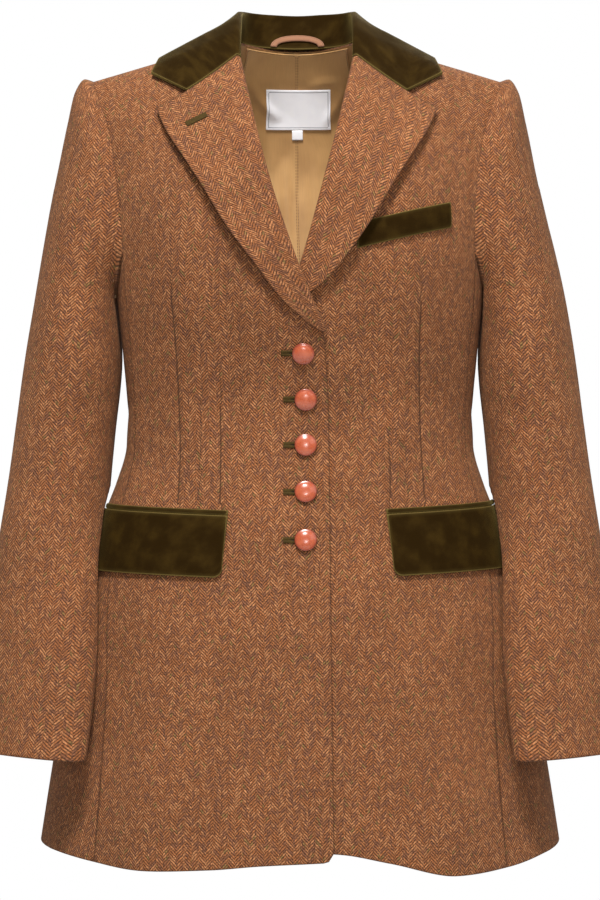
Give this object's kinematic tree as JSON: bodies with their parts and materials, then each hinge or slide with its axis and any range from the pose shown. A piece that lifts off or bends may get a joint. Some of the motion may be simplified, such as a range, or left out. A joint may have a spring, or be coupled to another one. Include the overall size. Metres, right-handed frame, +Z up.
{
  "type": "frock coat",
  "caption": "Fitted, flared single-breasted coat with long sleeves, turned-back lapels, a velvet collar, flap pockets and domed buttons, hollow as if worn.",
  "frame": {"origin": "the middle of the shoulder line, where a wearer's neck and shoulders carry the coat", "axes": "+Z up, -Y the way the front faces, +X towards the wearer's left; in metres"},
  "size_m": [0.6204, 0.3293, 0.807],
  "materials": {
    "tweed": "rust and brown herringbone wool tweed",
    "velvet": "dark olive cotton velvet",
    "lining_satin": "bronze satin",
    "button_coral": "coral domed buttons with a soft shine",
    "binding": "olive satin binding",
    "label_white": "white woven tape",
    "loop_brown": "brown folded tape"
  },
  "bodies": {
    "root": {"breast_welt": "velvet", "collar": "velvet", "front_button_1": "button_coral", "front_button_2": "button_coral", "front_button_3": "button_coral", "front_button_4": "button_coral", "front_button_5": "button_coral", "front_buttonhole_1": "binding", "front_buttonhole_2": "binding", "front_buttonhole_3": "binding", "front_buttonhole_4": "binding", "front_buttonhole_5": "binding", "hanger_loop": "loop_brown", "label": "label_white", "lapel_buttonhole": "binding", "left_back": "tweed", "left_back_lining": "lining_satin", "left_cuff_button_1": "button_coral", "left_cuff_button_2": "button_coral", "left_cuff_button_3": "button_coral", "left_cuff_buttonhole_1": "binding", "left_cuff_buttonhole_2": "binding", "left_cuff_buttonhole_3": "binding", "left_flap": "velvet", "left_front": "tweed", "left_jetting": "velvet", "left_lapel": "tweed", "left_side": "tweed", "left_under_sleeve": "tweed", "left_upper_sleeve": "tweed", "right_back": "tweed", "right_back_lining": "lining_satin", "right_cuff_button_1": "button_coral", "right_cuff_button_2": "button_coral", "right_cuff_button_3": "button_coral", "right_cuff_buttonhole_1": "binding", "right_cuff_buttonhole_2": "binding", "right_cuff_buttonhole_3": "binding", "right_flap": "velvet", "right_front": "tweed", "right_jetting": "velvet", "right_lapel": "tweed", "right_side": "tweed", "right_under_sleeve": "tweed", "right_upper_sleeve": "tweed", "size_tab": "label_white"}
  },
  "joints": []
}
